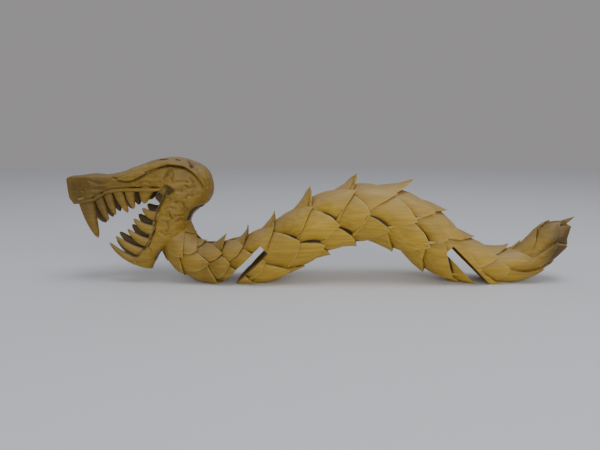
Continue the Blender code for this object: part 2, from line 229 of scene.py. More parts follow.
def open_gap(row, column, side, share, across):
    """How far a scale draws back, and down, to leave the gap behind the scale before it on this side."""
    before = row - 1, (column + side) % COLUMNS
    if before not in tips or not ridge_side(before[1], -side):
        return 0.0, 0.0
    tip = tips[before]
    overlap = UNDERCUT * (1 - share) + (tip["high"][0] - tip["mid"][0]) * share
    overlap += SCALE_ROUND * math.sin(math.pi * share)
    back = overlap * min(1.0, GAP_START * share, GAP_STOP * (1 - share)) + GAP_WIDTH * gap_at(share)
    full = gap_share(*before)
    return full * back * (1 - across), full * GAP_DEPTH * gap_at(share) * (1 - across) ** GAP_SLOPE


print(sum(gap_share(row, column) > 0 for row, column in tips), "scales have a gap behind them")


# %% [markdown]
# ## One scale as a leaf
#
# Each scale is a leaf between four marks: it starts under the tips before it and ends in its own raised
# tip. A grid of points fills it, because the belly of the leaf, the nicks of its rim and the spike of a
# ridge scale are then each one term that is added at every point. The random nicks come from one seeded
# source, so each run cuts the same rims.

# %% One scale as a leaf
LEAF_STEPS = 18            # faces along one edge of a scale
RIM_NICK, NICKS = 0.35 * STEP, 6    # unevenness of the cut rims, and how many nicks a rim has
SPIKE_START = 0.3          # where on a ridge scale its spike starts to rise, 1 is at the tip
SPIKE_CURVE = 1.5          # 1 is a straight front slope, more is hollow


def near_turn(turn, reference):
    return turn - 2 * math.pi * round((turn - reference) / (2 * math.pi))


def leaf(row, column, rng):
    """One scale as a grid of spots, and the corners that it shares with its neighbours."""
    n = LEAF_STEPS
    shared = {(0, 0): (row - 2, column, "low"), (n, 0): (row - 1, (column - 1) % COLUMNS, "mid"),
              (0, n): (row - 1, (column + 1) % COLUMNS, "mid"), (n, n): (row, column, "high")}
    spots = [tips[key[:2]][key[2]] for key in shared.values()]
    tip = spots[3]
    turns = [near_turn(spot[1], tip[1]) for spot in spots]
    nicks = {side: [rng.uniform(-1, 1) for _ in range(NICKS)] for side in (0, 1)}
    grid = []
    for i in range(n + 1):
        line = []
        for j in range(n + 1):
            a, b = i / n, j / n
            weights = (1 - a) * (1 - b), a * (1 - b), (1 - a) * b, a * b
            distance = sum(w * spot[0] for w, spot in zip(weights, spots))
            turn = sum(w * t for w, t in zip(weights, turns))
            lift = sum(w * spot[2] for w, spot in zip(weights, spots))
            if column == 0:
                spike = max(0.0, math.sqrt(a * b) - SPIKE_START) / (1 - SPIKE_START)
                lift += tip[2] * (spike ** SPIKE_CURVE - a * b)
            lift += SCALE_BELLY * math.sin(math.pi * a) * math.sin(math.pi * b)
            for side, share, across in ((-1, a, b), (1, b, a)):
                back, down = open_gap(row, column, side, share, across)
                distance, lift = distance + back, lift - down
            if i == n or j == n:
                along = min(a, b)
                distance += SCALE_ROUND * math.sin(math.pi * along)
                line_of_nicks = [(0.0,)] + [(v,) for v in nicks[int(i == n)]] + [(0.0,)]
                nick = on_spline(line_of_nicks, along * (NICKS + 1))[0]
                distance += RIM_NICK * nick * math.sin(math.pi * along) ** 0.5
            line.append((distance, turn, lift))
        grid.append(line)
    return grid, shared


def rear_edge(numbers, side):
    """The points from a side corner of a scale to its tip."""
    n = LEAF_STEPS
    return [numbers[n, k] if side < 0 else numbers[k, n] for k in range(n + 1)]


def front_edge(numbers, side):
    """The points from the front corner of a scale to a side corner."""
    return [numbers[k, 0] if side < 0 else numbers[0, k] for k in range(LEAF_STEPS + 1)]


print("points in the grid of one scale:", (LEAF_STEPS + 1) ** 2)


# %% [markdown]
# ## Laying out the skin flat
#
# The whole skin is first laid out flat, as distance along the back, turn round the trunk and lift.
# Neighbouring scales share their corners, and narrow walls close the skin behind their edges. The flat
# place is kept on the points as an attribute, so that the nodes further on can wind it round the line of
# the back. Each scale also gets a tone of its own, because the knife opens the grain at another angle on
# each, and painted light that rises towards its raised tip, so that its sunk front is painted as if in the
# shade of the scale before. The floors of the gaps get painted shade.

# %% Lay out the scales
# Painted light: the tone of a scale rises towards its raised tip, so its sunk front reads as shaded by the
# scale before
TIP_PAINTED_LIGHT = 0.5             # share of a scale's tone that rises towards its tip
WALL_TONE = 0.5            # tone of the cut walls between the scales
RIM_HOLLOW = 0.5 * STEP    # how far the wall behind an edge leans in
TAIL_CORE = 6              # how far past the last ridge tip the skin closes, in grid steps


def rear_wall(high, low, row, column, side, share):
    """The foot of the wall behind a scale, and how much painted shade its gap gets."""
    (d0, t0, l0), (d1, t1, l1) = high, low
    if ridge_side(column, side):
        return (d0 - RIM_HOLLOW, near_turn(t0, t1), l1), gap_at(share) * gap_share(row, column)
    return ((d0 + d1) / 2 - RIM_HOLLOW, (t0 + near_turn(t1, t0)) / 2, (l0 + l1) / 2), 0.0


def keep_on_points(mesh, name, values):
    """Keep one value for each point of a mesh."""
    mesh.attributes.new(name, "FLOAT", "POINT").data.foreach_set("value", values)


def lay_out_scales():
    """The whole skin, with each point's flat place kept as the attribute laid."""
    rng = random.Random(11)
    n = LEAF_STEPS
    laid, faces, index, leaves, gap_painted_shade, tone_and_painted_light = [], [], {}, {}, {}, {}

    def number(key, spot):
        if key not in index:
            index[key] = len(laid)
            laid.append(spot)
        return index[key]

    for row in range(2, tip_rows):
        for column in range(row % 2, COLUMNS, 2):
            grid, shared = leaf(row, column, rng)
            own_tone = rng.uniform(0.0, 1.0 - TIP_PAINTED_LIGHT)
            numbers = {}
            for i in range(n + 1):
                for j in range(n + 1):
                    key = shared.get((i, j))
                    spot = tips[key[:2]][key[2]] if key else grid[i][j]
                    numbers[i, j] = number(key or (row, column, i, j), spot)
                    # The scale's own random tone, plus painted light that rises towards its tip
                    tone_and_painted_light[numbers[i, j]] = own_tone + TIP_PAINTED_LIGHT * (i / n) * (j / n)
            leaves[row, column] = numbers
            for i in range(n):
                for j in range(n):
                    here, far = numbers[i, j], numbers[i + 1, j + 1]
                    faces += [(here, numbers[i + 1, j], far), (here, far, numbers[i, j + 1])]

    for (row, column), numbers in leaves.items():
        for side in (-1, 1):
            behind = leaves.get((row + 1, (column + side) % COLUMNS))
            if not behind:
                continue
            high, low = rear_edge(numbers, side), front_edge(behind, -side)
            fold = [high[0]]
            for k in range(1, n):
                foot, painted_shade = rear_wall(laid[high[k]], laid[low[k]], row, column, side, k / n)
                fold.append(number(("fold", row, column, side, k), foot))
                # Painted shade on the floor of the gap, on the foot of the wall and the front edge behind
                # it
                gap_painted_shade[fold[-1]] = gap_painted_shade[low[k]] = painted_shade
            fold.append(high[n])
            for first, second in ((high, fold), (fold, low)):
                for k in range(n):
                    a, b, c, d = first[k], first[k + 1], second[k + 1], second[k]
                    faces += [face for face in ((a, b, c), (a, c, d)) if len(set(face)) == 3]

    for tail_end, place in ((False, RIDGE[0][0]), (True, RIDGE[-1][0] + TAIL_CORE)):
        laid.append((place * STEP, 0.0, None))
        for (row, column), numbers in leaves.items():
            if row == (tip_rows - 1 if tail_end else 2):
                for side in (-1, 1):
                    edge = rear_edge(numbers, side) if tail_end else front_edge(numbers, side)
                    faces += [(a, b, len(laid) - 1) for a, b in zip(edge, edge[1:])]

    mesh = bpy.data.meshes.new("scaled_trunk")
    flat = [(d, near_turn(t, math.pi) * TURN_RADIUS, lift or 0.0) for d, t, lift in laid]
    mesh.from_pydata(flat, [], faces)
    places = [value for d, t, lift in laid for value in (d, t, lift or 0.0)]
    mesh.attributes.new("laid", "FLOAT_VECTOR", "POINT").data.foreach_set("vector", places)
    keep_on_points(mesh, "core", [float(lift is None) for _, _, lift in laid])
    # Painted shade on the floors of the gaps, and each scale's tone with painted light towards its tip
    for name, values, usual in (("cut", gap_painted_shade, 0.0), ("tone_and_painted_light", tone_and_painted_light, WALL_TONE)):
        keep_on_points(mesh, name, [values.get(i, usual) for i in range(len(laid))])
    return add_object("scaled_trunk", mesh)


trunk = lay_out_scales()
print("scaled trunk, laid flat:", len(trunk.data.polygons), "faces")


# %% [markdown]
# ## Helpers for node trees
#
# Node trees that are built in a script get long, because each node needs its links. A few helpers take that
# up: one for sums, one for vectors, one for a value kept on the points, and one for the last nodes, which
# make the result real and give it the wood. Running a tree turns its result into a plain mesh, which is all
# that the export knows.

# %% Helpers for node trees
def add_input(tree, name, kind, value=None):
    socket = tree.interface.new_socket(name, in_out="INPUT", socket_type=kind)
    if value is not None:
        socket.default_value = value


def link(tree, source, target):
    tree.links.new(source, target)


def math_node(tree, operation, first, second=None):
    node = tree.nodes.new("ShaderNodeMath")
    node.operation = operation
    for socket, value in zip(node.inputs, (first, second)):
        if isinstance(value, (int, float)):
            socket.default_value = value
        elif value is not None:
            link(tree, value, socket)
    return node.outputs[0]


def vector_node(tree, operation, first, second=None, scale=None):
    node = tree.nodes.new("ShaderNodeVectorMath")
    node.operation = operation
    for socket, value in zip(node.inputs, (first, second)):
        if value is not None:
            link(tree, value, socket)
    if scale is not None:
        link(tree, scale, node.inputs["Scale"])
    return node.outputs[0]


def named_attribute(tree, name, kind):
    """A value that is kept on the points under a name."""
    node = tree.nodes.new("GeometryNodeInputNamedAttribute")
    node.data_type = kind
    node.inputs["Name"].default_value = name
    return node.outputs["Attribute"]


def end_tree(tree, given, geometry):
    """Last nodes of a tree: make the result real, give it the wood and hand it out."""
    real = tree.nodes.new("GeometryNodeRealizeInstances")
    link(tree, geometry, real.inputs[0])
    finish = tree.nodes.new("GeometryNodeSetMaterial")
    link(tree, real.outputs[0], finish.inputs["Geometry"])
    link(tree, given.outputs["Wood"], finish.inputs["Material"])
    link(tree, finish.outputs[0], tree.nodes.new("NodeGroupOutput").inputs[0])


def settle(obj):
    """Replace an object's mesh by what its modifiers make of it, and remove them."""
    bpy.context.view_layer.update()
    made = bpy.data.meshes.new_from_object(obj.evaluated_get(bpy.context.evaluated_depsgraph_get()))
    obj.modifiers.clear()
    obj.data = made


def run_nodes(obj, tree, **values):
    """Run a tree on an object, with its named inputs, and keep the result as a plain mesh."""
    step = obj.modifiers.new(tree.name, "NODES")
    step.node_group = tree
    for item in tree.interface.items_tree:
        name = item.name.lower().replace(" ", "_")
        if item.in_out == "INPUT" and name in values:
            step[item.identifier] = values[name]
    settle(obj)


wood = bpy.data.materials.new("carved_pale_wood")
print("material for every tree:", wood.name)


# %% [markdown]
# ## Winding the skin round the back
#
# Moving each point by hand would hide the rule that shapes the trunk, so a Geometry Nodes tree does it. It
# reads the flat place of each point, finds that distance along the line of the back, and sets the point out
# from there by half the thickness and the lift, at its turn. The same tree would serve any other pose of
# the line.

# %% Wind the skin
DEPTH_SHARE = 0.94         # the trunk is slightly narrower than it is high


def winding_tree():
    """Geometry Nodes that wind a laid-out skin round a line."""
    tree = bpy.data.node_groups.new("wind_round_the_back", "GeometryNodeTree")
    add_input(tree, "Skin", "NodeSocketGeometry")
    add_input(tree, "Line of the back", "NodeSocketObject")
    add_input(tree, "Width share", "NodeSocketFloat", DEPTH_SHARE)
    add_input(tree, "Wood", "NodeSocketMaterial")
    tree.interface.new_socket("Skin", in_out="OUTPUT", socket_type="NodeSocketGeometry")
    new = tree.nodes.new
    given = new("NodeGroupInput")
    line = new("GeometryNodeObjectInfo")
    link(tree, given.outputs["Line of the back"], line.inputs["Object"])
    split = new("ShaderNodeSeparateXYZ")
    link(tree, named_attribute(tree, "laid", "FLOAT_VECTOR"), split.inputs[0])
    radius = new("GeometryNodeInputRadius")
    sample = new("GeometryNodeSampleCurve")
    sample.mode = "LENGTH"
    sample.data_type = "FLOAT"
    link(tree, line.outputs["Geometry"], sample.inputs["Curves"])
    link(tree, radius.outputs[0], sample.inputs["Value"])
    link(tree, split.outputs["X"], sample.inputs["Length"])
    along = new("ShaderNodeSeparateXYZ")
    link(tree, sample.outputs["Tangent"], along.inputs[0])
    outward = new("ShaderNodeCombineXYZ")
    link(tree, math_node(tree, "MULTIPLY", along.outputs["Z"], -1.0), outward.inputs["X"])
    link(tree, along.outputs["X"], outward.inputs["Z"])
    half, turn, lift = sample.outputs["Value"], split.outputs["Y"], split.outputs["Z"]
    skin = math_node(tree, "SUBTRACT", 1.0, named_attribute(tree, "core", "FLOAT"))
    high = math_node(tree, "MULTIPLY", math_node(tree, "ADD", half, lift), skin)
    wide = math_node(tree, "ADD", math_node(tree, "MULTIPLY", half, given.outputs["Width share"]), lift)
    wide = math_node(tree, "MULTIPLY", wide, skin)
    up = math_node(tree, "MULTIPLY", high, math_node(tree, "COSINE", turn))
    aside = new("ShaderNodeCombineXYZ")
    link(tree, math_node(tree, "MULTIPLY", wide, math_node(tree, "SINE", turn)), aside.inputs["Y"])
    place = vector_node(tree, "ADD", sample.outputs["Position"],
                        vector_node(tree, "SCALE", outward.outputs[0], scale=up))
    place = vector_node(tree, "ADD", place, aside.outputs[0])
    move = new("GeometryNodeSetPosition")
    link(tree, given.outputs["Skin"], move.inputs["Geometry"])
    link(tree, place, move.inputs["Position"])
    end_tree(tree, given, move.outputs[0])
    return tree


def point_out(obj):
    """Turn all faces of a closed form outwards."""
    work = bmesh.new()
    work.from_mesh(obj.data)
    bmesh.ops.recalc_face_normals(work, faces=work.faces)
    work.to_mesh(obj.data)
    work.free()


run_nodes(trunk, winding_tree(), line_of_the_back=back_line, wood=wood)
point_out(trunk)
bpy.data.objects.remove(back_line)
print("wound trunk:", [round(v, 3) for v in trunk.dimensions], len(trunk.data.polygons), "faces")


# %% [markdown]
# ## The block of the head
#
# The upper head is a long wedge with a flat top, straight cheeks and a blunt nose whose corners are cut
# away. A loft through cross-sections gives such a form: each section is a rounded box, nearly square at the
# nose and rounder at the back. It is cut finely, because the carved lines of the next step need points to
# press down. A subdivided cube would be quicker, but it would round the nose.

# %% Skull
HEAD_SIDES = 144
RING_FINER = 4             # a section is drawn this much finer before its points are spaced out
STRAIGHT_ROWS = 3          # the first rows of a table are joined straight, which keeps the nose blunt
SKULL = (
    (-199.4, 91.6, 86.0, 4.0, 0.5), (-197.6, 92.8, 73.0, 5.5, 0.4), (-193.6, 93.8, 67.8, 8.0, 0.35),
    (-180.0, 95.0, 69.0, 14.0, 0.35), (-176.0, 95.4, 70.5, 14.8, 0.38), (-165.0, 94.8, 77.5, 15.5, 0.42),
    (-150.0, 97.5, 80.0, 17.5, 0.5), (-135.0, 103.0, 80.5, 19.5, 0.6), (-120.0, 108.0, 79.0, 21.0, 0.68),
    (-106.0, 109.4, 66.0, 22.0, 0.72), (-94.0, 107.6, 59.5, 21.0, 0.72), (-84.0, 103.0, 66.5, 18.5, 0.74),
    (-77.5, 97.5, 71.0, 14.5, 0.76), (-73.8, 88.0, 78.0, 6.0, 0.8),
)   # place, top, underside, half width, roundness
SKULL_SPACING = 0.9        # distance between finished sections, in grid steps


def squared_ring(low, high, half_width, roundness, sides, narrowing=0.0):
    """A rounded box of points between two points of the middle plane."""
    middle, reach = (low + high) / 2, (high - low) / 2
    ring = []
    for k in range(sides):
        angle = 2 * math.pi * (k + 0.5) / sides
        along = math.copysign(abs(math.cos(angle)) ** roundness, math.cos(angle))
        across = math.copysign(abs(math.sin(angle)) ** roundness, math.sin(angle))
        width = half_width * (1 - narrowing * max(along, 0.0) ** 2)
        ring.append(middle + reach * along + Vector((0.0, width * across, 0.0)))
    return ring


def even_ring(ring):
    """The same outline with its points at even distances."""
    lengths = [(b - a).length for a, b in zip(ring, ring[1:] + ring[:1])]
    total, count = sum(lengths), len(ring)
    made, travelled, i = [], 0.0, 0
    for k in range(count):
        target = total * k / count
        while travelled + lengths[i] < target:
            travelled += lengths[i]
            i += 1
        share = (target - travelled) / lengths[i]
        made.append(ring[i].lerp(ring[(i + 1) % count], share))
    return made


def loft(name, rings):
    """A closed form through rings of equally many points."""
    vertices = [point for ring in rings for point in ring]
    around = len(rings[0])
    faces = []
    for k in range(len(rings) - 1):
        for i in range(around):
            j = (i + 1) % around
            a, b = k * around + i, k * around + j
            faces += [(a, b, b + around), (a, b + around, a + around)]
    for start, ring in ((0, rings[0]), ((len(rings) - 1) * around, rings[-1])):
        vertices.append(sum(ring, Vector()) / around)
        faces += [(start + i, start + (i + 1) % around, len(vertices) - 1) for i in range(around)]
    mesh = bpy.data.meshes.new(name)
    mesh.from_pydata([tuple(v) for v in vertices], [], faces)
    form = add_object(name, mesh)
    point_out(form)
    return form


def spaced(table, spacing):
    """The rows of a table, with rows in between so that none are further apart than spacing."""
    rows = []
    for k, (here, there) in enumerate(zip(table, table[1:])):
        parts = max(1, round(math.dist(here[:2], there[:2]) / spacing))
        for i in range(parts):
            t = i / parts
            smooth = on_spline(table, k + t)
            straight = tuple(a + (b - a) * t for a, b in zip(here, there))
            rows.append(straight if k < STRAIGHT_ROWS else smooth)
    return rows + [table[-1]]


def section(low, high, half, roundness, narrowing=0.0):
    """A cross-section of the head, with its points at even distances."""
    sides = HEAD_SIDES * RING_FINER
    ring = squared_ring(grid_point(*low), grid_point(*high), half * STEP, roundness, sides, narrowing)
    return even_ring(ring)[::RING_FINER]


skull = loft("skull_form", [section((x, low), (x, top), half, roundness)
                            for x, top, low, half, roundness in spaced(SKULL, SKULL_SPACING)])
print("skull:", len(skull.data.polygons), "faces")


# %% [markdown]
# ## The lower jaw
#
# The jaw hangs from the back of the skull and turns forward to the chin, and it is narrower along the
# throat than along the lip. The same loft serves, but its sections stand across the bend of the jaw, so
# each is given by a point on the lip and one on the throat.

# %% Jaw
JAW = (
    (-112, 88, -84, 84, 17), (-118.5, 74, -90, 66, 20), (-124.5, 62, -94, 54, 19.5),
    (-128.2, 50, -97, 44, 18.5), (-133, 36, -108, 36, 17), (-140.3, 27.4, -121, 26, 15),
    (-147.5, 20.6, -126, 18, 12.5), (-148.5, 17.6, -129.5, 10.6, 9),
)   # lip and throat, each as place and height, and half width
JAW_ROUNDNESS = 0.6
THROAT_NARROWING = 0.3     # how much narrower the jaw is along its throat than along its lip
JAW_SPACING = 1.0
jaw = loft("jaw_form", [section((x0, z0), (x1, z1), half, JAW_ROUNDNESS, THROAT_NARROWING)
                        for x0, z0, x1, z1, half in spaced(JAW, JAW_SPACING)])
print("jaw:", len(jaw.data.polygons), "faces")


# %% [markdown]
# ## Knife strokes on the head
#
# The eye groove, the wrinkles and the mouth line are single strokes of a knife. Each is a line of points on
# the side of the head with a width and a depth, and every point of the mesh near it is pressed towards the
# middle. Pressing points down keeps one closed skin, where a Boolean for each stroke would be slow and
# leave slivers.

# %% Cut the strokes
STROKES = (
    (((-120.7, 98.1), (-114, 101.4), (-107.4, 103), (-100.9, 103), (-95.3, 101.4), (-89.7, 98.1),
      (-85, 93.2), (-81.1, 87.5), (-79.6, 82.6)), 1.2, 0.9),
    (((-154.4, 92.3), (-149.6, 90.2), (-142.3, 88.6), (-134.8, 90.6), (-126.3, 95.1),
      (-121.3, 98)), 1.1, 1.1),
    (((-110, 93.3), (-107.3, 99), (-104.9, 99.8)), 1.2, 1.2),
    (((-104.9, 99.8), (-104.3, 94.9), (-105.3, 90.1)), 1.2, 1.2),
    (((-111.8, 90.9), (-110, 93.3), (-107.5, 94.9)), 1.1, 1.0),
    (((-133.6, 85.9), (-128.4, 90), (-122.8, 87.5)), 1.3, 0.8),
    (((-100.4, 89.2), (-96.3, 90.1), (-92.3, 89.2)), 1.2, 1.0),
    (((-94, 86), (-90.8, 83.5), (-87.5, 84.3)), 1.2, 1.1),
    (((-100.7, 81.9), (-97.5, 81.9)), 1.2, 1.0),
    (((-94.7, 75.2), (-92.9, 77.6), (-88.8, 77.6)), 1.2, 1.1),
    (((-97.3, 71.8), (-95.8, 67.7), (-93.4, 64.3)), 1.3, 1.2),
    (((-103.8, 60.8), (-97.1, 60.8)), 1.2, 1.2),
    (((-109.5, 63.4), (-107.9, 60), (-106.4, 58.3)), 1.2, 1.2),
    (((-116.4, 56.6), (-112.3, 55.8), (-108.1, 56.6)), 1.2, 1.0),
    (((-103.1, 55.8), (-99.7, 57.5), (-94.9, 55)), 1.3, 1.3),
    (((-110.9, 54.8), (-110.3, 50.5), (-112.1, 47.1)), 1.2, 1.1),
    (((-104, 72), (-99, 73.5), (-96, 71)), 1.2, 1.0),
    (((-113, 66), (-109, 68), (-104, 66.5)), 1.2, 1.0),
    (((-116.5, 107), (-110.5, 107)), 0.6, 0.9),
    (((-103.1, 107), (-99.5, 106.4)), 0.6, 0.9),
    (((-92.4, 104.6), (-88.4, 100.6)), 0.7, 1.0),
    (((-82.5, 96.6), (-80, 92.5)), 1.0, 1.4),
    (((-78.3, 87.8), (-77.6, 84.5)), 1.2, 1.2),
    (((-174.7, 89.7), (-166.6, 87.2), (-160, 88.1)), 1.5, 0.6),
    (((-171.9, 82.3), (-165.3, 83.1)), 1.4, 0.6),
    (((-144.8, 22.5), (-137.4, 16.8), (-131.6, 14.5), (-127.5, 13.5)), 1.4, 0.9),
    (((-126, 103), (-118, 106), (-110, 107.6)), 1.3, 0.9),
    (((-94, 106), (-88, 102.5), (-82.5, 97), (-79, 91), (-77.2, 85)), 1.4, 1.1),
    (((-113, 72), (-106, 75), (-101, 73)), 1.3, 0.9),
    (((-118, 47), (-113, 44), (-109, 45)), 1.2, 0.9),
    (((-130, 36), (-126, 30), (-127, 24)), 1.3, 0.9),
    (((-90, 92), (-87, 88), (-88.5, 84)), 1.2, 0.9),
    (((-95.1, 56.7), (-92.3, 62.6), (-88.8, 66), (-83.7, 67.7)), 1.6, 2.6),
    (((-110.1, 84.5), (-105.5, 82.0), (-109.5, 79.5)), 2.8, 3.4),
    (((-109.0, 82.2), (-114.0, 74.8), (-117.6, 68.1), (-120.4, 60.5), (-122.1, 52.5), (-124.6, 44.1),
      (-128.5, 36.9), (-134.1, 30.7), (-140.4, 24.6)), 1.7, 1.9),
    (((-182, 81), (-181.9, 81.1)), 0.9, 1.6),
)   # points of the stroke, half width and depth, in grid steps
STROKE_MIDDLE = 4.0 * STEP  # points this near the middle plane stay
STROKE_REACH = 80.0         # no stroke is longer, in grid steps
STROKE_SECTION = 1.5        # 1 is a sharp groove, more is rounder
# Painted shade in the strokes: a deeper stroke, for its width, is painted darker
STROKE_PAINTED_SHADE = 0.55      # darkness of a stroke that is as deep as half its width


def distance_to_line(x, z, line):
    """Distance from a point to a line of points, on the side of the head."""
    best = math.inf
    for (x0, z0), (x1, z1) in zip(line, line[1:]):
        dx, dz = x1 - x0, z1 - z0
        t = max(0.0, min(1.0, ((x - x0) * dx + (z - z0) * dz) / (dx * dx + dz * dz)))
        best = min(best, math.hypot(x - x0 - t * dx, z - z0 - t * dz))
    return best


def strokes_at(x, z, strokes):
    """How deep the strokes go at a place on the side of the head, and how much painted shade they get
    there.
    """
    deepest, most_painted_shade = 0.0, 0.0
    for line, half, depth in strokes:
        if abs(x - line[0][0]) > STROKE_REACH or abs(z - line[0][1]) > STROKE_REACH:
            continue
        away = distance_to_line(x, z, line) / half
        if away < 1.0:
            deepest = max(deepest, depth * (1 - away ** STROKE_SECTION))
            most_painted_shade = max(most_painted_shade, min(1.0, STROKE_PAINTED_SHADE * depth / half) * (1 - away * away))
    return deepest, most_painted_shade


def cut_strokes(form, strokes):
    """Press the strokes into both cheeks of a form."""
    pressed = 0
    for vertex in form.data.vertices:
        if abs(vertex.co.y) > STROKE_MIDDLE:
            deep = strokes_at(vertex.co.x / STEP + MIDDLE, vertex.co.z / STEP, strokes)[0]
            vertex.co.y -= math.copysign(deep * STEP, vertex.co.y)
            pressed += deep > 0
    return pressed


for form in (skull, jaw):
    print("points pressed:", cut_strokes(form, STROKES), "on", form.name)


# %% [markdown]
# ## Crest band and eye plate
#
# A band runs over the side of the skull and an almond plate lies over the eye. The carver left them
# standing by cutting the wood round them away. Each is a thin loft that passes through the head from cheek
# to cheek and stands out a little on both sides, and it is fused with the skull further on. The rim along
# the upper lip and the inner corner of the mouth are made the same way.

# %% Band and plate
CREST = (
    (-128, 98, 95.8), (-121, 103.5, 98.6), (-107, 106.6, 102.8), (-96, 105, 101.6), (-90, 102, 98.2),
    (-84.5, 98, 92.5), (-80.5, 93.5, 86), (-78, 87, 81),
)   # place, top and underside, as in the next three tables
BROW = ((-151, 91.3, 90.7), (-144, 95, 88.6), (-137, 97.4, 89.4), (-130.5, 98.8, 92.6), (-126, 97.2, 95.6))
LIP = (
    (-186, 71.5, 69.2), (-173.4, 75, 71.5), (-168.2, 77.5, 74), (-163, 80.8, 77.3),
    (-156.2, 82.8, 79.3), (-145.4, 84.1, 80.6), (-120.4, 84.1, 80.8), (-113.5, 84.5, 82.5),
)
MOUTH_CORNER = ((-123, 76, 73.5), (-119, 81, 68), (-112, 84, 62), (-104, 82, 62))
MOUTH_CORNER_HALF = 6.5 * STEP    # it closes the inside of the mouth, where the jaws meet
CREST_RELIEF, BROW_RELIEF, LIP_RELIEF = 1.4 * STEP, 2.0 * STEP, 0.4 * STEP
PLATE_ROUNDNESS, PLATE_SIDES, PLATE_SPACING = 0.45, 64, 1.0


def skull_half_width(x):
    for here, there in zip(SKULL, SKULL[1:]):
        if x <= there[0]:
            return here[3] + (there[3] - here[3]) * (x - here[0]) / (there[0] - here[0])
    return SKULL[-1][3]


def make_plate(name, outline, relief, half=None):
    """A thin form through the head, standing out by a relief or with a half width of its own."""
    rings = []
    for x, top, low in spaced(outline, PLATE_SPACING):
        width = half or skull_half_width(x) * STEP + relief
        low_point, high_point = grid_point(x, low), grid_point(x, top)
        rings.append(squared_ring(low_point, high_point, width, PLATE_ROUNDNESS, PLATE_SIDES))
    return loft(name, rings)


plates = [make_plate("crest_band", CREST, CREST_RELIEF), make_plate("eye_plate", BROW, BROW_RELIEF),
          make_plate("lip_rim", LIP, LIP_RELIEF),
          make_plate("mouth_corner", MOUTH_CORNER, 0.0, MOUTH_CORNER_HALF)]
for plate in plates:
    print(plate.name, len(plate.data.polygons), "faces")


# %% [markdown]
# ## Teeth
#
# Each tooth is a bent, slightly flattened cone that starts inside the lip. They are all alike but for their
# size and bend, so one function cuts them from a table of roots and tips, once for each side of the mouth.

# %% Cut the teeth
UPPER_TEETH = (
    (-179.5, 71.0, 7.2, -172.5, 40.5, 9.5), (-168.5, 76.0, 4.8, -162.5, 55.5, 10.5),
    (-160.5, 79.5, 4.8, -156.0, 60.5, 11.0), (-151.5, 81.5, 5.2, -145.0, 62.5, 12.0),
    (-141.5, 82.0, 5.0, -139.5, 66.0, 13.0), (-127.0, 82.5, 7.4, -130.5, 70.5, 14.0),
)
LOWER_TEETH = (
    (-145.0, 22.5, 3.6, -163.5, 36.0, 8.5), (-138.0, 30.0, 4.2, -157.5, 42.0, 10.0),
    (-132.0, 39.0, 4.4, -146.4, 48.4, 11.5), (-127.5, 50.0, 4.8, -140.5, 57.5, 12.5),
    (-122.5, 62.0, 4.8, -132.5, 66.5, 13.5),
)   # root place and height, half width, tip place and height, place aside
TOOTH_ROOT, TOOTH_TIP = 5.0 * STEP, 0.3 * STEP
TOOTH_TAPER, TOOTH_FLATNESS = 0.55, 0.7
UPPER_BEND, LOWER_BEND = -1.0, 2.0
FAR_FANG_LIFT = 10.0       # the far fang ends this much higher than the near one
FAR_TEETH_WIDER = 1.35     # the far teeth are wider and stand further forward, so that they fill the gaps
FAR_TEETH_FORWARD = 3.6
TOOTH_THICKEST = 3.4 * STEP
TOOTH_SIDES, TOOTH_RINGS = 16, 14


def make_tooth(name, root_x, root_z, half, tip_x, tip_z, aside, bend):
    tip = grid_point(tip_x, tip_z)
    axis = (tip - grid_point(root_x, root_z)).normalized()
    root = grid_point(root_x, root_z) - axis * TOOTH_ROOT
    across = Vector((-axis.z, 0.0, axis.x))
    rings = []
    for k in range(TOOTH_RINGS + 1):
        t = k / TOOTH_RINGS
        width = half * STEP * (1 - t) ** TOOTH_TAPER + TOOTH_TIP
        width *= FAR_TEETH_WIDER if aside > 0 else 1
        middle = root + (tip - root) * t + across * (bend * STEP * math.sin(math.pi * t))
        middle.y = aside * STEP
        ring = []
        for i in range(TOOTH_SIDES):
            angle = 2 * math.pi * i / TOOTH_SIDES
            thick = min(TOOTH_FLATNESS * width, TOOTH_THICKEST) * math.sin(angle)
            ring.append(middle + across * (width * math.cos(angle)) + Vector((0.0, thick, 0.0)))
        rings.append(ring)
    return loft(name, rings)


teeth = []
for row_name, table, bend in (("upper", UPPER_TEETH, UPPER_BEND), ("lower", LOWER_TEETH, LOWER_BEND)):
    for count, (root_x, root_z, half, tip_x, tip_z, aside) in enumerate(table):
        for side, side_name in ((-1, "near"), (1, "far")):
            name = f"{row_name}_tooth_{count}_{side_name}"
            end_z = tip_z + FAR_FANG_LIFT if name == "upper_tooth_0_far" else tip_z
            ahead = FAR_TEETH_FORWARD if side > 0 and count else 0.0
            teeth.append(make_tooth(name, root_x - ahead, root_z, half, tip_x - ahead, end_z,
                                    side * aside, bend))
print(len(teeth), "teeth")


# %% [markdown]
# ## Knife marks
#
# A carved face is never quite smooth: each stroke of the knife leaves a shallow scoop, longer than it is
# wide, and where two scoops meet there is a faint ridge. A cell pattern gives just that, because its value
# is lowest in the middle of a cell and highest where cells meet. Nodes move each point inwards by it, so
# the outline stays true.

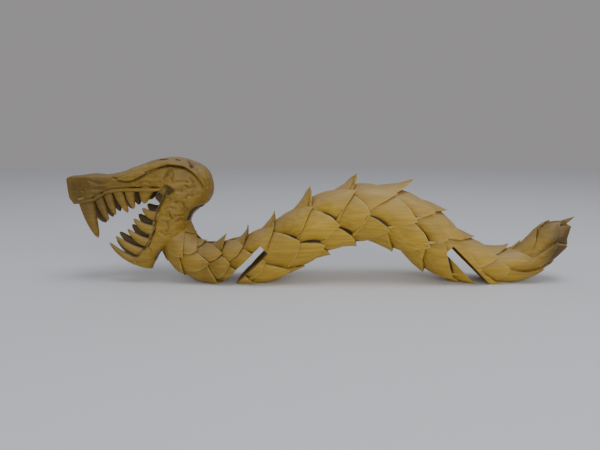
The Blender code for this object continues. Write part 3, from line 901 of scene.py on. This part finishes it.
# %% Leave knife marks
def knife_tree():
    """Geometry Nodes that press shallow scoops into a surface."""
    tree = bpy.data.node_groups.new("knife_marks", "GeometryNodeTree")
    add_input(tree, "Form", "NodeSocketGeometry")
    add_input(tree, "Marks per metre", "NodeSocketVector", (85.0, 190.0, 190.0))
    add_input(tree, "Mark depth", "NodeSocketFloat", 0.3 * STEP)
    add_input(tree, "Wood", "NodeSocketMaterial")
    tree.interface.new_socket("Form", in_out="OUTPUT", socket_type="NodeSocketGeometry")
    new = tree.nodes.new
    given = new("NodeGroupInput")
    place, normal = new("GeometryNodeInputPosition"), new("GeometryNodeInputNormal")
    cells = new("ShaderNodeTexVoronoi")
    cells.inputs["Scale"].default_value = 1.0
    link(tree, vector_node(tree, "MULTIPLY", place.outputs[0], given.outputs["Marks per metre"]),
         cells.inputs["Vector"])
    scoop = math_node(tree, "MULTIPLY", cells.outputs["Distance"], cells.outputs["Distance"])
    scoop = math_node(tree, "MINIMUM", scoop, 1.0)
    press = math_node(tree, "SUBTRACT", scoop, 1.0)
    press = math_node(tree, "MULTIPLY", press, given.outputs["Mark depth"])
    move = new("GeometryNodeSetPosition")
    link(tree, given.outputs["Form"], move.inputs["Geometry"])
    link(tree, vector_node(tree, "SCALE", normal.outputs[0], scale=press), move.inputs["Offset"])
    end_tree(tree, given, move.outputs[0])
    return tree


knife_marks = knife_tree()
KNIFE_MARKS = (
    (trunk, (70.0, 130.0, 130.0), 0.5), (skull, (80.0, 150.0, 150.0), 0.7),
    (skull, (150.0, 220.0, 220.0), 0.55), (jaw, (90.0, 130.0, 130.0), 0.9),
    (jaw, (150.0, 220.0, 220.0), 0.5),
)   # form, marks per metre along each axis, and their depth in grid steps
for form, per_metre, mark_depth in KNIFE_MARKS:
    run_nodes(form, knife_marks, marks_per_metre=per_metre, mark_depth=mark_depth * STEP, wood=wood)
    print("knife marks on", form.name)


# %% [markdown]
# ## One piece of wood
#
# Everything so far is one carving, so the forms are fused by an exact Boolean union. Then the two sloping
# saw cuts and the flat underside are taken away. The order is the carver's: the saw comes after the shape.

# %% Fuse the forms and saw the cuts
SLOT_WIDTH, SLOT_TOP, SLOT_LEAN = 9.0 * STEP, 32.0 * STEP, math.radians(45.0)
SLOT_PLACES = (-30.0, 125.6)
CUT_MARGIN, CARVING_LENGTH = 20.0 * STEP, 440.0 * STEP
BOX_CUTS = 11              # the walls get points of their own, for their colour


def make_box(name, size, centre, lean=0.0):
    mesh = bpy.data.meshes.new(name)
    work = bmesh.new()
    bmesh.ops.create_cube(work, size=1.0)
    bmesh.ops.subdivide_edges(work, edges=work.edges, cuts=BOX_CUTS, use_grid_fill=True)
    bmesh.ops.scale(work, vec=size, verts=work.verts)
    work.to_mesh(mesh)
    work.free()
    box = add_object(name, mesh)
    box.rotation_euler = (0.0, lean, 0.0)
    box.location = centre
    return box


def make_cuts():
    run = (SLOT_TOP + CUT_MARGIN) / math.sin(SLOT_LEAN)
    cuts = []
    for name, place, sign in (("left_saw_cut", SLOT_PLACES[0], 1), ("right_saw_cut", SLOT_PLACES[1], -1)):
        down = Vector((-sign * math.cos(SLOT_LEAN), 0.0, -math.sin(SLOT_LEAN)))
        centre = grid_point(place, 0.0) + Vector((0.0, 0.0, SLOT_TOP)) + down * (run / 2)
        size = (SLOT_WIDTH, CARVING_LENGTH / 4, run)
        cuts.append(make_box(name, size, centre, sign * (math.pi / 2 - SLOT_LEAN)))
    below = (CARVING_LENGTH + 4 * CUT_MARGIN, CARVING_LENGTH / 2, 2 * CUT_MARGIN)
    cuts.append(make_box("flat_underside", below, Vector((0.0, 0.0, -CUT_MARGIN))))
    return cuts


def gather(name, members):
    """Move objects into a collection of their own, for a Boolean."""
    group = bpy.data.collections.new(name)
    bpy.context.scene.collection.children.link(group)
    for member in members:
        bpy.context.scene.collection.objects.unlink(member)
        group.objects.link(member)
    return group


def boolean(target, name, operation, members):
    """Fuse members with the target, or take them away, and remove them."""
    group = gather(name, members)
    step = target.modifiers.new(name, "BOOLEAN")
    step.operation, step.operand_type, step.solver = operation, "COLLECTION", "EXACT"
    step.collection = group
    settle(target)
    for member in members:
        bpy.data.objects.remove(member)
    bpy.data.collections.remove(group)


carving = trunk
carving.name = "carved_dragon"
boolean(carving, "head_and_teeth", "UNION", [skull, jaw] + plates + teeth)
boolean(carving, "saw_cuts", "DIFFERENCE", make_cuts())
print("one piece:", len(carving.data.polygons), "faces")


# %% [markdown]
# ## Where the colour is browner, with painted shade and light
#
# The colour is browner and darker over the head and the low neck, most of all on the snout, and at the tail
# end. The inside of the mouth is painted darkest, as painted shade, and faces that look up are painted less
# brown, as painted light. An image of the colours would tie the piece to one view, so a short table along
# the length gives them, with a few rules on place and slope.

# %% Where the colour is browner, with painted shade and light
BROWN_ALONG = (
    (-200, 0.80), (-186, 0.92), (-166, 0.92), (-150, 0.62), (-125, 0.50), (-95, 0.62), (-72, 0.55),
    (-35, 0.15), (20, 0.0), (180, 0.08), (205, 0.38), (218, 1.0), (240, 1.0),
)   # place, share of brown
HEAD_END = -84             # the marked strokes end before this place
SAW_STAIN, SAW_LEAN, SAW_NEAR = 0.25, math.sin(SLOT_LEAN), 0.03
MOUTH_BOX = ((-192, -112), (20, 84))    # places and heights between the lips
# Painted shade inside the mouth: the share of brown there, between the lips
MOUTH_INNER, MOUTH_PAINTED_SHADE = 7.0 * STEP, 0.92
# Painted light: faces that look up are made less brown
TOP_PAINTED_LIGHT = 0.42                          # how much less brown a face is that looks up
PALE_JAW, JAW_HEIGHTS = 0.28, (50, 85)    # share less brown under the first height, none over the second


def is_sawn(normal):
    """Whether a face is a wall of a saw cut, by its slope."""
    return max(abs(abs(normal.x) - SAW_LEAN), abs(abs(normal.z) - SAW_LEAN), abs(normal.y)) < SAW_NEAR


def brown_with_painted_light_and_shade_at(x, z, place, normal):
    """Share of brown at a point, with painted shade inside the mouth and painted light on faces that look
    up.
    """
    if is_sawn(normal):
        return SAW_STAIN
    share = BROWN_ALONG[-1][1]
    for (x0, s0), (x1, s1) in zip(BROWN_ALONG, BROWN_ALONG[1:]):
        if x <= x1:
            share = s0 + (s1 - s0) * max(0.0, x - x0) / (x1 - x0)
            break
    # Painted light: less brown the more a face looks up
    share *= 1 - TOP_PAINTED_LIGHT * max(normal.z, 0.0)
    if x < HEAD_END:
        low, high = JAW_HEIGHTS
        share *= 1 - PALE_JAW * max(0.0, min(1.0, (high - z) / (high - low)))
    # Painted shade inside the mouth: faces between the lips that look inwards, or lie near the middle, are
    # made nearly fully brown
    (x_low, x_high), (z_low, z_high) = MOUTH_BOX
    if x_low < x < x_high and z_low < z < z_high and (place.y * normal.y < 0 or abs(place.y) < MOUTH_INNER):
        share = max(share, MOUTH_PAINTED_SHADE)
    return share


for spot, x in (("nose", -198), ("arch", 60), ("tail", 230)):
    print("share of brown at the", spot, round(brown_with_painted_light_and_shade_at(x, 60, Vector(), Vector((0, -1, 0))), 2))


# %% [markdown]
# ## How deep and how sharp the wood is cut
#
# Deep places are painted dark, as painted shade, and sharp rims pale, as a painted highlight. Both are
# measured on the finished form and kept as values on its points, with the painted shade of the strokes.
# Short rays show how deep a point lies, and its neighbours show how sharp the edge is there. The sawn walls
# are left out, since a saw leaves them clean.

# %% Measure depth and edges
RAYS, RAY_START, RAY_REACH = 11, 0.1 * STEP, 11.0 * STEP
EDGE_GAIN = 2.2            # how soon an edge counts as fully sharp
SHARP_ANGLE = math.radians(38.0)


def ray_fan(count):
    """Directions over a half sphere about +Z, closer together near its top."""
    fan = []
    for k in range(count):
        up = math.sqrt(1 - (k + 0.5) / count)
        turn = k * math.pi * (3 - math.sqrt(5))
        across = math.sqrt(1 - up * up)
        fan.append(Vector((across * math.cos(turn), across * math.sin(turn), up)))
    return fan


def depth_at(tree, place, normal, fan):
    """How much of the room over a point is closed by wood close by, 0 to 1."""
    turned = normal.to_track_quat("Z", "Y").to_matrix()
    closed = 0.0
    for ray in fan:
        distance = tree.ray_cast(place, turned @ ray, RAY_REACH)[3]
        if distance is not None:
            closed += 1 - distance / RAY_REACH
    return closed / len(fan)


def measure(carving):
    mesh = carving.data
    tree = BVHTree.FromPolygons([v.co for v in mesh.vertices], [tuple(p.vertices) for p in mesh.polygons])
    fan = ray_fan(RAYS)
    bulge, ends = [0.0] * len(mesh.vertices), [0] * len(mesh.vertices)
    for a, b in (edge.vertices for edge in mesh.edges):
        along = (mesh.vertices[b].co - mesh.vertices[a].co).normalized()
        bulge[a] -= along.dot(mesh.vertices[a].normal)
        bulge[b] += along.dot(mesh.vertices[b].normal)
        ends[a] += 1
        ends[b] += 1
    painted_depth_shades, painted_rim_highlights, brown_and_painted_light_shares, painted_top_sheens, sawn = [], [], [], [], []
    cut = mesh.attributes["cut"].data
    for vertex, bent, count in zip(mesh.vertices, bulge, ends):
        place, normal = vertex.co, vertex.normal
        sawn.append(float(is_sawn(normal)))
        # Painted shade: the more a point is closed in by wood close by, the darker it is painted
        painted_depth_shades.append(0.0 if sawn[-1] else depth_at(tree, place + normal * RAY_START, normal, fan))
        # Painted highlight: sharp outward edges are painted pale
        painted_rim_highlights.append(min(1.0, max(0.0, EDGE_GAIN * bent / max(count, 1))))
        # Painted sheen: faces that look up are painted paler and greyer
        painted_top_sheens.append(max(0.0, normal.z))
        x, z = place.x / STEP + MIDDLE, place.z / STEP
        brown_and_painted_light_shares.append(brown_with_painted_light_and_shade_at(x, z, place, normal))
        # Painted shade in the knife strokes on the head, kept with the painted shade of the gaps
        if x < HEAD_END and abs(place.y) > STROKE_MIDDLE and place.y * normal.y > 0:
            cut[vertex.index].value = strokes_at(x, z, STROKES)[1]
    kept = {"depth": painted_depth_shades, "rim": painted_rim_highlights, "brown_with_painted_light_and_shade": brown_and_painted_light_shares, "top": painted_top_sheens, "sawn": sawn}
    for name, values in kept.items():
        keep_on_points(mesh, name, values)
        print(name, "mean", round(sum(values) / len(values), 3), "most", round(max(values), 3))


carving.data.shade_smooth()
carving.data.set_sharp_from_angle(angle=SHARP_ANGLE)
measure(carving)


# %% [markdown]
# ## Pale wood, cut with a knife
#
# The wood is bare, yellow and pale, with fine straight grain along its length. The finish is a mix of two
# wood colours by stretched noise, and a bump from the same grain. Then the measured values are laid over
# it: each scale's tone with painted light towards its tip, a painted sheen on faces that look up, brown
# after the table with painted shade inside the mouth, a painted highlight on the rims and painted shade,
# nearly black, in the deep places, gaps and strokes. The grain reads Object coordinates, so it runs
# through the whole piece as it does in a real block.

# %% Wood finish
GRAIN_DARK, GRAIN_PALE = (0.41, 0.25, 0.016, 1), (0.55, 0.36, 0.030, 1)
# The tone colours carry each scale's own tone and the painted light towards its tip
TONE_SHADE, TONE_LIGHT = (0.86, 0.84, 0.80, 1), (1.30, 1.30, 1.35, 1)
# Painted sheen on faces that look up
PAINTED_TOP_SHEEN = (0.40, 0.295, 0.165, 1)
# Brown along the length, and painted shade inside the mouth
BROWN_AND_PAINTED_SHADE = (0.20, 0.17, 0.13, 1)
# Painted highlight on sharp rims
PAINTED_RIM_HIGHLIGHT = (0.62, 0.44, 0.13, 1)
# Painted shade, nearly black, in deep places, gaps and strokes
PAINTED_CREVICE_SHADE = (0.035, 0.018, 0.007, 1)
SHINE, ROUGHNESS = 0.5, 0.48    # of a face cut with the knife; a sawn face has no shine
GRAIN, CLOUD = ((14.0, 420.0, 420.0), 5.0), ((16.0, 45.0, 45.0), 3.0)    # spots per metre, detail
BUMP_STRENGTH, BUMP_HEIGHT = 0.3, 0.3 * STEP
SHARES = {
    "grain": (0.3, 0.7, 1.0), "cloud": (0.35, 0.75, 0.35), "tone_and_painted_light": (0.0, 1.0, 0.5),
    "top": (0.05, 0.95, 0.6), "rim": (0.3, 1.0, 0.35), "depth": (0.22, 0.9, 0.8),
    "cut": (0.15, 0.75, 0.95),
}   # the value where each starts, where it is full, and its share then


def attribute_value(tree, name):
    node = tree.nodes.new("ShaderNodeAttribute")
    node.attribute_name = name
    return node.outputs["Fac"]


def mixed(tree, share, first, second, blend="MIX"):
    """One colour laid over another, each a fixed colour or a socket."""
    node = tree.nodes.new("ShaderNodeMix")
    node.data_type, node.blend_type = "RGBA", blend
    colour_inputs = [socket for socket in node.inputs if socket.type == "RGBA"]
    for socket, value in zip([node.inputs[0]] + colour_inputs, (share, first, second)):
        if isinstance(value, (tuple, float)):
            socket.default_value = value
        else:
            link(tree, value, socket)
    return next(socket for socket in node.outputs if socket.type == "RGBA")


def spread(tree, value, low, high, top):
    """A value between low and high, spread over 0 to top."""
    node = tree.nodes.new("ShaderNodeMapRange")
    node.interpolation_type = "SMOOTHSTEP"
    node.inputs["From Min"].default_value = low
    node.inputs["From Max"].default_value = high
    node.inputs["To Max"].default_value = top
    link(tree, value, node.inputs["Value"])
    return node.outputs["Result"]


def stretched_noise(tree, scale, detail):
    place = tree.nodes.new("ShaderNodeTexCoord")
    stretch = tree.nodes.new("ShaderNodeMapping")
    stretch.inputs["Scale"].default_value = scale
    link(tree, place.outputs["Object"], stretch.inputs["Vector"])
    noise = tree.nodes.new("ShaderNodeTexNoise")
    noise.inputs["Scale"].default_value = 1.0
    noise.inputs["Detail"].default_value = detail
    link(tree, stretch.outputs[0], noise.inputs["Vector"])
    return noise.outputs["Fac"]


def share_of(tree, name):
    """A value kept on the points, as the share of its colour."""
    return spread(tree, attribute_value(tree, name), *SHARES[name])


def build_wood(material):
    material.use_nodes = True
    tree = material.node_tree
    shader = tree.nodes["Principled BSDF"]
    shader.inputs["Roughness"].default_value = ROUGHNESS
    grain, cloud = stretched_noise(tree, *GRAIN), stretched_noise(tree, *CLOUD)
    colour = mixed(tree, spread(tree, grain, *SHARES["grain"]), GRAIN_DARK, GRAIN_PALE)
    colour = mixed(tree, spread(tree, cloud, *SHARES["cloud"]), colour, GRAIN_DARK)
    # Each scale's tone, with painted light rising towards its tip
    tone_and_painted_light = mixed(tree, share_of(tree, "tone_and_painted_light"), TONE_SHADE, TONE_LIGHT)
    colour = mixed(tree, 1.0, colour, tone_and_painted_light, "MULTIPLY")
    # Painted sheen on faces that look up
    colour = mixed(tree, share_of(tree, "top"), colour, PAINTED_TOP_SHEEN)
    # Brown along the length, with painted shade inside the mouth and painted light on faces that look up
    browned_and_painted_shade = mixed(tree, 1.0, colour, BROWN_AND_PAINTED_SHADE, "MULTIPLY")
    colour = mixed(tree, attribute_value(tree, "brown_with_painted_light_and_shade"), colour, browned_and_painted_shade)
    # Painted highlight on sharp rims, then painted shade in deep places, gaps and strokes
    for name, over in (("rim", PAINTED_RIM_HIGHLIGHT), ("depth", PAINTED_CREVICE_SHADE), ("cut", PAINTED_CREVICE_SHADE)):
        colour = mixed(tree, share_of(tree, name), colour, over)
    link(tree, colour, shader.inputs["Base Color"])
    dull = math_node(tree, "MULTIPLY", attribute_value(tree, "sawn"), -SHINE)
    link(tree, math_node(tree, "ADD", dull, SHINE), shader.inputs["Specular IOR Level"])
    bump = tree.nodes.new("ShaderNodeBump")
    bump.inputs["Strength"].default_value = BUMP_STRENGTH
    bump.inputs["Distance"].default_value = BUMP_HEIGHT
    link(tree, grain, bump.inputs["Height"])
    link(tree, bump.outputs["Normal"], shader.inputs["Normal"])


build_wood(wood)
carving.data.materials.clear()
carving.data.materials.append(wood)
print("finish:", wood.name)


# %% [markdown]
# ## Tie the piece to the frame
#
# The fine carving stands for the plain solid, which is hidden but still carries the weight and the
# collisions.

# %% Tie it
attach(carving, "root")
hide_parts("dragon_carving")
print("triangles:", sum(len(p.vertices) - 2 for p in carving.data.polygons))


# %% [markdown]
# ## Table top, light and camera
#
# The photograph was taken from a little above the carving, with soft light from a ceiling and from the room
# in front. A pale plane, two large lamps and a dim surrounding light give that, and the camera has the
# place and the lens of the photograph.

# %% Floor, lamps, camera
SENSOR_WIDTH = 36.0
PHOTO_LENS = 503.0 * SENSOR_WIDTH / 600    # a focal length of 503 pixels in a frame of 600
PHOTO_TILT = math.radians(9.9)
PHOTO_PLACE = (-0.0201, -0.431574, 0.125268)
FLOOR_NEAR, FLOOR_FAR, FLOOR_HALF = -2.5, 1.65, 4.0    # the far edge of the table shows in the photograph
FLOOR_COLOUR, FLOOR_ROUGHNESS = (0.82, 0.85, 0.90, 1), 0.7
LAMPS = (
    ("ceiling_lamp", (0.15, -0.3, 1.25), (0.0, 0.0, 0.0), (0.7, 0.6), 5.5, (0.94, 0.97, 1.0)),
    ("room_front", (0.3, -1.6, 0.6), (0.0, 0.0, 0.05), (2.0, 1.0), 13.0, (1.0, 0.98, 0.95)),
)   # name, place, aim, size, power and colour
ROOM_COLOUR, ROOM_STRENGTH = (0.55, 0.53, 0.545, 1), 0.55


def make_floor():
    mesh = bpy.data.meshes.new("pale_floor")
    near, far, half = FLOOR_NEAR, FLOOR_FAR, FLOOR_HALF
    corners = [(-half, near, 0), (half, near, 0), (half, far, 0), (-half, far, 0)]
    mesh.from_pydata(corners, [], [(0, 1, 2, 3)])
    material = bpy.data.materials.new("pale_table")
    material.use_nodes = True
    shader = material.node_tree.nodes["Principled BSDF"]
    shader.inputs["Base Color"].default_value = FLOOR_COLOUR
    shader.inputs["Roughness"].default_value = FLOOR_ROUGHNESS
    mesh.materials.append(material)
    return add_object("pale_floor", mesh)


def make_lamp(name, place, aim, size, power, colour):
    data = bpy.data.lights.new(name, "AREA")
    data.shape = "RECTANGLE"
    data.size, data.size_y = size
    data.energy = power
    data.color = colour
    lamp = add_object(name, data)
    lamp.location = place
    lamp.rotation_euler = (Vector(aim) - Vector(place)).to_track_quat("-Z", "Y").to_euler()


make_floor()
for lamp_data in LAMPS:
    make_lamp(*lamp_data)
world = bpy.data.worlds.new("room_light")
world.use_nodes = True
room = world.node_tree.nodes["Background"]
room.inputs["Color"].default_value = ROOM_COLOUR
room.inputs["Strength"].default_value = ROOM_STRENGTH
bpy.context.scene.world = world

camera_data = bpy.data.cameras.new("photo_camera")
camera_data.sensor_width = SENSOR_WIDTH
camera_data.lens = PHOTO_LENS
camera_data.clip_start = 0.01
camera = add_object("photo_camera", camera_data)
camera.location = PHOTO_PLACE
camera.rotation_euler = (math.pi / 2 - PHOTO_TILT, 0.0, 0.0)
bpy.context.scene.camera = camera
print("lens:", round(PHOTO_LENS, 2), "mm")
